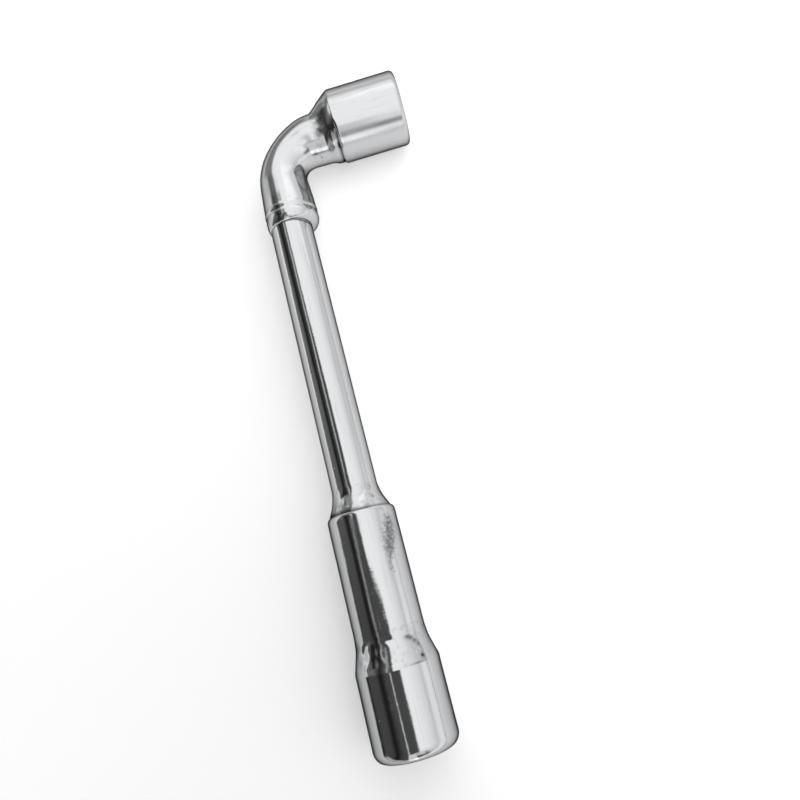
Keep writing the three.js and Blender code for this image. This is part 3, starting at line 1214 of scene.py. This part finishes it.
@dataclass(kw_only=True)
class NeckWeld(Piece):
    """The lopsided cone of weld between the neck and the back of the short socket.

    It leaves the neck sharply on the outer side of the bend, sweeps out of it softly elsewhere, and has
    a ledge on the inner side. Limits around it go from 0 on the outer side of the L to 1 on the inner,
    and limits along it from 0 at its toe to 1 at the socket.
    """

    name: str = "neck_weld_cone"
    node: str = "short_socket_weld"
    finish: Chrome = SOFT_WELD_CHROME
    back_edge: BackEdge = BackEdge()
    step: float = 0.02
    toe: float = 0.04
    sharp_sweep: float = 1.35
    soft_sweep: float = 2.5
    soft_around: Limits = (0.25, 0.6)
    ledge_around: Limits = (0.74, 0.86)
    ledge_along: Limits = (0.42, 0.8)
    bulge: float = 0.14
    lumps: Ripple = Ripple(size=3.4, height=0.09, seed=4.4)
    toe_lumps: float = 0.3
    toe_fade: Limits = (0.0, 0.25)
    foot_fade: Limits = (0.0, 0.1)
    # Painted shade along the crease where the cone meets the socket's back.
    crease_shade: float = 0.8
    crease_around: Limits = (0.62, 0.9)
    crease_along: Limits = (0.84, 1.0)
    pitch: float = 0.25
    dents: tuple[Dent, ...] = (
        Dent(6.4, 40, 1.2, 1.6, -0.14),
        Dent(4.6, 46, 1.0, 1.5, 0.14),
        Dent(5.6, 62, 1.0, 1.4, 0.16),
        Dent(4.2, 14, 1.4, 2.2, 0.12),
        Dent(5.2, -12, 1.2, 1.8, -0.14),
    )
    # Painted shade in dark spots on the cone.
    shade_spots: tuple[Dent, ...] = (
        Dent(4.6, 47, 0.8, 1.4, 0.5),
        Dent(5.9, 66, 0.6, 1.0, 0.5),
        Dent(-1.1, 76, 0.35, 0.45, 0.6),
    )

    def skin(self) -> Skin:
        """Make the cone from its toe to the socket and back along the neck inside it.

        Returns:
            The weld's surface.
        """
        sizes = self.sizes
        turning = Turning(sizes, Arm.SHORT)
        skin = Skin(hose=True)
        toe_radius = NECK_RADIUS + self.toe
        foot_radius = sizes.short_radius - self.back_edge.drops() - self.step
        inner = (1 + np.sin(TURNS)) / 2
        softened = smooth_share(inner, self.soft_around)
        sweep = self.sharp_sweep + (self.soft_sweep - self.sharp_sweep) * softened
        ledge = smooth_share(inner, self.ledge_around)
        crease_shading = self.crease_shade * smooth_share(inner, self.crease_around)
        for station in steps(sizes.bend_end, sizes.short_back, self.pitch):
            share = (station - sizes.bend_end) / (sizes.short_back - sizes.bend_end)
            grown = share ** sweep + self.bulge * math.sin(math.pi * share) * (1 - inner)
            grown += (smooth_share(share, self.ledge_along) - grown) * ledge
            plain = toe_radius + (foot_radius - toe_radius) * grown
            fade = smooth_share(share, self.toe_fade) * smooth_share(1 - share, self.foot_fade)
            lumps = (self.toe_lumps + (1 - self.toe_lumps) * grown) * self.lumps.around(station, plain)
            radii = plain + fade * (lumps - depths(self.dents, station, plain))
            # Painted shade: dark in the crease at the socket and in the listed spots.
            painted_shade = crease_shading * smooth_share(share, self.crease_along) + depths(self.shade_spots, station, plain)
            skin.add(turning.ring(radii, station, sizes.neck_offset * (1 - grown)), painted_shade=painted_shade)
        skin.add(turning.ring(NECK_RADIUS, sizes.short_back, sizes.neck_offset))
        skin.add(turning.ring(NECK_RADIUS, sizes.bend_end, sizes.neck_offset))
        return skin


@dataclass(frozen=True)
class Ramp:
    """A smooth change from a low to a high level of light, from a start to an end along one way.

    Places are in metres on a sheet, and parts of a direction of length 1 on the dome. The level of each
    slide is added to the place, so that the border bends.
    """

    along: Along
    start: float
    end: float
    low: float
    high: float
    slides: tuple["Ramp", ...] = ()

    def level(self, tree: bpy.types.NodeTree, place: bpy.types.NodeSocket) -> bpy.types.NodeSocket:
        """Build the ramp.

        Args:
            tree: the nodes to add to.
            place: the point or the direction that is lit.

        Returns:
            The level of light there.
        """
        measured = add_node(
            tree,
            "ShaderNodeVectorMath",
            {"operation": "DOT_PRODUCT"},
            {0: place, 1: self.along.value},
        )
        value = measured.outputs["Value"]
        for slide in self.slides:
            shift = slide.level(tree, place)
            moved = add_node(tree, "ShaderNodeMath", {"operation": "ADD"}, {0: value, 1: shift})
            value = moved.outputs["Value"]
        eased = add_node(
            tree,
            "ShaderNodeMapRange",
            {"interpolation_type": "SMOOTHSTEP"},
            {
                "Value": value,
                "From Min": self.start,
                "From Max": self.end,
                "To Min": self.low,
                "To Max": self.high,
            },
        )
        return eased.outputs["Result"]


@dataclass(frozen=True)
class Patch:
    """A named patch of light, whose level is the product of its ramps."""

    name: str
    ramps: tuple[Ramp, ...]


def join_patches(
    tree: bpy.types.NodeTree,
    place: bpy.types.NodeSocket,
    patches: Sequence[Patch],
    join: Join,
) -> bpy.types.NodeSocket:
    """Build patches of light and join them.

    Args:
        tree: the nodes to add to.
        place: the point or the direction that is lit.
        patches: the patches.
        join: how they are joined.

    Returns:
        The joined level of light.
    """
    total = None
    for patch in patches:
        level = None
        for ramp in patch.ramps:
            factor = ramp.level(tree, place)
            if level is not None:
                scaled = add_node(tree, "ShaderNodeMath", {"operation": "MULTIPLY"}, {0: level, 1: factor})
                factor = scaled.outputs["Value"]
            level = factor
        if total is not None:
            joined = add_node(tree, "ShaderNodeMath", {"operation": join.value}, {0: total, 1: level})
            level = joined.outputs["Value"]
        total = level
    return total


# The strips and the haze on the dome's dark left lie above its foot and in front of its back.
ABOVE_FOOT = Ramp(Along.UP, 0.06, 0.20, 0.0, 1.0)
BEFORE_BACK = Ramp(Along.BACK, 0.55, 0.72, 1.0, 0.0)
# The panel's light falls off to the back.
PANEL_FALL = Ramp(Along.BACK, 0.33, 0.8, 1.0, 0.3)
# The broad strip leans to the left in front.
STRIP_BEND = Ramp(Along.BACK, 0.03, 0.16, 0.13, 0.0)


@dataclass
class Studio:
    """A white floor, a soft panel overhead on the right, and a dome with pale walls and a dark left.

    The panel glows where its cover is 1, and its left border slides back and forth along its length.
    """

    floor_half: float = 60000.0
    floor_colour: str = "#f7f7f7"
    floor_lift: Ramp = Ramp(Along.RIGHT, -0.2, 0.0, 0.47, 0.26)
    panel_height: float = 235.0
    panel_low: tuple[float, float] = (-400.0, -600.0)
    panel_high: tuple[float, float] = (380.0, 700.0)
    panel_cover: tuple[Patch, ...] = (
        Patch("near part", (
            Ramp(Along.RIGHT, -0.054, -0.030, 0.0, 1.0, slides=(
                Ramp(Along.BACK, -0.078, -0.042, -0.069, 0.0),
                Ramp(Along.BACK, 0.05, 0.16, 0.0, 0.04),
            )),
            Ramp(Along.BACK, -0.36, -0.16, 0.0, 1.0),
        )),
        Patch("far part", (
            Ramp(Along.RIGHT, -0.11, -0.075, 0.0, 1.0, slides=(Ramp(Along.BACK, 0.24, 0.30, 0.0, 0.09),)),
            Ramp(Along.BACK, 0.19, 0.22, 0.0, 1.0),
        )),
    )
    panel_glow: tuple[Patch, ...] = (
        Patch("cloth, dimmer to the right", (Ramp(Along.RIGHT, 0.0, 0.4, 1.62, 1.2), PANEL_FALL)),
        Patch("bright bar across the far part", (
            Ramp(Along.BACK, 0.205, 0.265, 0.0, 1.0),
            Ramp(Along.BACK, 0.29, 0.35, 1.0, 0.0),
            Ramp(Along.RIGHT, 0.004, 0.02, 0.0, 0.35),
            PANEL_FALL,
        )),
    )
    dome: tuple[Patch, ...] = (
        Patch("low left wall, brighter to the back", (
            Ramp(Along.RIGHT, -0.2, 0.0, 1.0, 0.0),
            Ramp(Along.LEANING, 0.03, 0.09, 1.0, 0.0),
            Ramp(Along.BACK, -0.15, 0.15, 0.4, 1.6),
            BEFORE_BACK,
        )),
        Patch("right wall", (
            Ramp(Along.RIGHT, -0.2, 0.0, 0.0, 1.0),
            Ramp(Along.UP, 0.22, 0.42, 1.0, 0.0),
            Ramp(Along.BACK, -0.1, 0.3, 1.65, 1.2),
        )),
        Patch("back, and the dark level everywhere else", (Ramp(Along.BACK, 0.55, 0.72, 0.018, 0.468),)),
        Patch("fill in front on the left", (
            Ramp(Along.RIGHT, -0.1, 0.0, 1.0, 0.0),
            Ramp(Along.BACK, -0.38, -0.22, 0.85, 0.0),
            Ramp(Along.UP, 0.18, 0.34, 1.0, 0.0),
        )),
        Patch("upper right", (
            Ramp(Along.UP, 0.22, 0.42, 0.0, 1.0),
            Ramp(Along.RIGHT, 0.3, 0.6, 0.0, 1.2),
        )),
        Patch("upright strip in front", (
            Ramp(Along.UP, -0.03, 0.03, 0.0, 1.0),
            Ramp(Along.RIGHT, -0.27, -0.23, 0.0, 1.0),
            Ramp(Along.RIGHT, -0.04, 0.0, 1.0, 0.0),
            Ramp(Along.BACK, -0.62, -0.47, 1.25, 0.0),
        )),
        Patch("fill in front on the right", (
            Ramp(Along.RIGHT, -0.05, 0.01, 0.0, 1.0),
            Ramp(Along.RIGHT, 0.32, 0.38, 1.0, 0.0),
            Ramp(Along.BACK, -0.86, -0.74, 0.0, 1.0),
            Ramp(Along.BACK, -0.58, -0.46, 1.0, 0.0),
            Ramp(Along.UP, 0.06, 0.20, 0.0, 0.95),
        )),
        Patch("broad strip on the dark left", (
            Ramp(Along.RIGHT, -0.47, -0.41, 0.0, 1.0, slides=(STRIP_BEND,)),
            Ramp(Along.RIGHT, -0.37, -0.31, 1.0, 0.0, slides=(STRIP_BEND,)),
            Ramp(Along.BACK, -0.085, -0.07, 0.0, 1.0),
            Ramp(Along.BACK, 0.10, 0.25, 0.42, 0.85),
            ABOVE_FOOT,
            BEFORE_BACK,
        )),
        Patch("thin strip on the dark left, in front", (
            Ramp(Along.RIGHT, -0.305, -0.275, 0.0, 1.0),
            Ramp(Along.RIGHT, -0.265, -0.235, 1.0, 0.0),
            Ramp(Along.BACK, -0.10, -0.08, 1.32, 0.0),
            ABOVE_FOOT,
            BEFORE_BACK,
        )),
        Patch("haze far out on the left", (
            Ramp(Along.RIGHT, -0.85, -0.68, 1.0, 0.0),
            Ramp(Along.BACK, -0.1, 0.4, 0.11, 0.3),
            ABOVE_FOOT,
            BEFORE_BACK,
        )),
        Patch("haze overhead", (Ramp(Along.RIGHT, -0.72, -0.42, 0.0, 0.12), ABOVE_FOOT, BEFORE_BACK)),
    )

    def build(self) -> None:
        """Build the floor, the panel and the dome."""
        self.build_floor()
        self.build_panel()
        self.build_dome()

    def sheet(
        self,
        name: str,
        low: tuple[float, float],
        high: tuple[float, float],
        height: float,
    ) -> bpy.types.Object:
        """Make a level sheet that is not part of the wrench.

        Args:
            name: the object's name.
            low: the corner with the smallest X and Y.
            high: the opposite corner.
            height: its height.

        Returns:
            The linked object.
        """
        corners = ((low[0], low[1]), (high[0], low[1]), (high[0], high[1]), (low[0], high[1]))
        mesh = bpy.data.meshes.new(name)
        mesh.from_pydata([(x * MM, y * MM, height * MM) for x, y in corners], [], [(0, 1, 2, 3)])
        made = bpy.data.objects.new(name, mesh)
        bpy.context.scene.collection.objects.link(made)
        return made

    def build_floor(self) -> None:
        """Build the level floor that the wrench lies on, lifted to white where it is seen or mirrored."""
        half = self.floor_half
        floor = self.sheet("floor", (-half, -half), (half, half), 0.0)
        # Matt white paper: no gloss at all, so only the wrench's soft shadow shows on it.
        made = bpy.data.materials.new("white studio paper")
        tree = empty_nodes(made)
        path = add_node(tree, "ShaderNodeLightPath").outputs
        seen = path["Is Camera Ray"]
        for ray in ("Is Glossy Ray", "Is Transmission Ray"):
            either = add_node(tree, "ShaderNodeMath", {"operation": "MAXIMUM"}, {0: seen, 1: path[ray]})
            seen = either.outputs["Value"]
        level = self.floor_lift.level(tree, add_node(tree, "ShaderNodeTexCoord").outputs["Object"])
        lift = add_node(tree, "ShaderNodeMath", {"operation": "MULTIPLY"}, {0: seen, 1: level})
        surface = add_node(
            tree,
            "ShaderNodeBsdfPrincipled",
            inputs={
                "Base Color": linear(self.floor_colour),
                "Roughness": 1.0,
                "Specular IOR Level": 0.0,
                "Emission Color": linear("#ffffff"),
                "Emission Strength": lift.outputs["Value"],
            },
        )
        add_node(tree, "ShaderNodeOutputMaterial", inputs={"Surface": surface.outputs["BSDF"]})
        floor.data.materials.append(made)

    def build_panel(self) -> None:
        """Build the overhead panel, which the camera looks through."""
        panel = self.sheet("soft_panel", self.panel_low, self.panel_high, self.panel_height)
        panel.visible_camera = False
        # White cloth lit from above: an even glow, cut away where its cover ends.
        made = bpy.data.materials.new("lit diffusion cloth")
        tree = empty_nodes(made)
        place = add_node(tree, "ShaderNodeTexCoord").outputs["Object"]
        cover = join_patches(tree, place, self.panel_cover, Join.BRIGHTEST)
        glow = join_patches(tree, place, self.panel_glow, Join.SUM)
        light = add_node(tree, "ShaderNodeEmission", inputs={"Strength": glow})
        gap = add_node(tree, "ShaderNodeBsdfTransparent")
        mixed = add_node(
            tree,
            "ShaderNodeMixShader",
            inputs={"Fac": cover, 1: gap.outputs["BSDF"], 2: light.outputs["Emission"]},
        )
        add_node(tree, "ShaderNodeOutputMaterial", inputs={"Surface": mixed.outputs["Shader"]})
        panel.data.materials.append(made)

    def build_dome(self) -> None:
        """Build the dome, whose brightness depends only on the direction."""
        world = bpy.data.worlds.new("studio dome")
        bpy.context.scene.world = world
        tree = empty_nodes(world)
        direction = add_node(tree, "ShaderNodeTexCoord").outputs["Generated"]
        glow = join_patches(tree, direction, self.dome, Join.SUM)
        sky = add_node(tree, "ShaderNodeBackground", inputs={"Strength": glow})
        add_node(tree, "ShaderNodeOutputWorld", inputs={"Surface": sky.outputs["Background"]})


@dataclass
class PhotoCamera:
    """A close wide camera above the wrench, rolled so that the long arm leans to the left.

    Its place, sensor and near limit are in millimetres.
    """

    place: tuple[float, float, float] = (13.28, -60.46, 219.15)
    forward: tuple[float, float, float] = (-0.04801, 0.2484, -0.96747)
    up: tuple[float, float, float] = (0.27114, 0.93546, 0.22673)
    focal_pixels: float = 680.0
    image_width: float = 800.0
    sensor: float = 36.0
    near_limit: float = 1.0

    def build(self) -> None:
        """Create the camera and make it the scene's own."""
        lens = bpy.data.cameras.new("photo camera")
        lens.sensor_width = self.sensor
        lens.lens = self.focal_pixels / self.image_width * self.sensor
        lens.clip_start = self.near_limit * MM
        camera = bpy.data.objects.new("photo camera", lens)
        back = -Vector(self.forward).normalized()
        right = Vector(self.up).cross(back).normalized()
        above = back.cross(right)
        turn = Matrix((right, above, back)).transposed().to_4x4()
        camera.matrix_world = Matrix.Translation(Vector(self.place) * MM) @ turn
        bpy.context.scene.collection.objects.link(camera)
        bpy.context.scene.camera = camera


def main() -> None:
    """Build the camera, the studio and each piece in order along the wrench."""
    logging.basicConfig(level=logging.INFO, format="%(name)s: %(message)s")
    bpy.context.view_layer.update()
    bpy.context.scene.view_settings.view_transform = "Standard"
    PhotoCamera().build()
    Studio().build()
    sizes = Sizes.from_frame()
    materials = {finish: finish.material() for finish in FINISHES}
    pieces = (
        LongSocket(sizes=sizes),
        ShoulderWeld(sizes=sizes),
        Barrel(sizes=sizes),
        TrumpetWeld(sizes=sizes),
        Shank(sizes=sizes),
        Elbow(sizes=sizes),
        NeckWeld(sizes=sizes),
        ShortSocket(sizes=sizes),
    )
    for piece in pieces:
        made = piece.build()
        piece.dress(made, materials[piece.finish])
        LOG.info("%s stands for %s with %d faces", made.name, piece.node, len(made.data.polygons))


if __name__ == "__main__":
    main()
